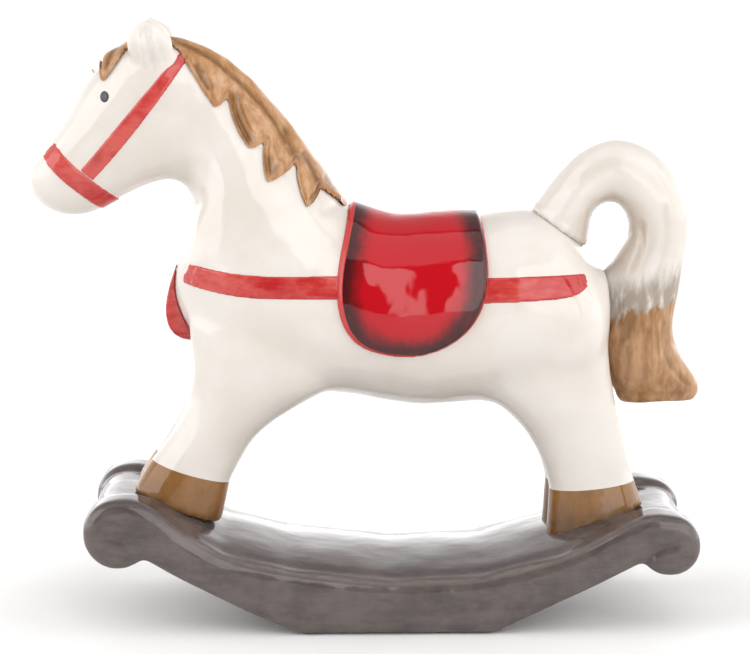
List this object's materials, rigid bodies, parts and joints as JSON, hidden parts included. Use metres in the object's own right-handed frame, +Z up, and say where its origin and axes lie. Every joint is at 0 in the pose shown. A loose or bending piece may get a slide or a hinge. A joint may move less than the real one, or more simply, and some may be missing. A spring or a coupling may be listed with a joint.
{
  "type": "ceramic rocking horse ornament",
  "caption": "Glazed ceramic rocking horse figurine standing on a scrolled rocker base, with raised saddle, bridle, breast strap, mane and looped tail",
  "frame": {"origin": "middle plane of the horse, on the flat foot under the rockers where it stands on the table", "axes": "+Z up, +X towards the tail along the rockers, +Y towards the horse's right side"},
  "size_m": [0.1622, 0.053, 0.1449],
  "materials": {
    "cream_glaze": "glossy cream glaze with beige wash in the recesses",
    "tail_glaze": "glossy cream glaze brushed to brown at the tip",
    "brown_glaze": "glossy hand-brushed brown",
    "saddle_red": "high-gloss red, airbrushed dark at the sides",
    "strap_red": "glossy hand-brushed red",
    "eye_black": "glossy dark slate dot",
    "rocker_grey": "glossy grey-brown, brushed, pale along the ridge"
  },
  "bodies": {
    "root": {"horse_body": "cream_glaze", "left_front_leg": "cream_glaze", "right_front_leg": "cream_glaze", "left_rear_leg": "cream_glaze", "right_rear_leg": "cream_glaze", "left_ear": "cream_glaze", "right_ear": "cream_glaze", "tail": "tail_glaze", "left_front_hoof": "brown_glaze", "right_front_hoof": "brown_glaze", "left_rear_hoof": "brown_glaze", "right_rear_hoof": "brown_glaze", "mane": "brown_glaze", "forelock": "brown_glaze", "saddle": "saddle_red", "noseband": "strap_red", "left_cheek_strap": "strap_red", "right_cheek_strap": "strap_red", "breast_strap": "strap_red", "chest_tassel": "strap_red", "left_rear_strap": "strap_red", "right_rear_strap": "strap_red", "left_eye": "eye_black", "right_eye": "eye_black", "left_rocker": "rocker_grey", "right_rocker": "rocker_grey", "deck": "rocker_grey"}
  },
  "joints": []
}
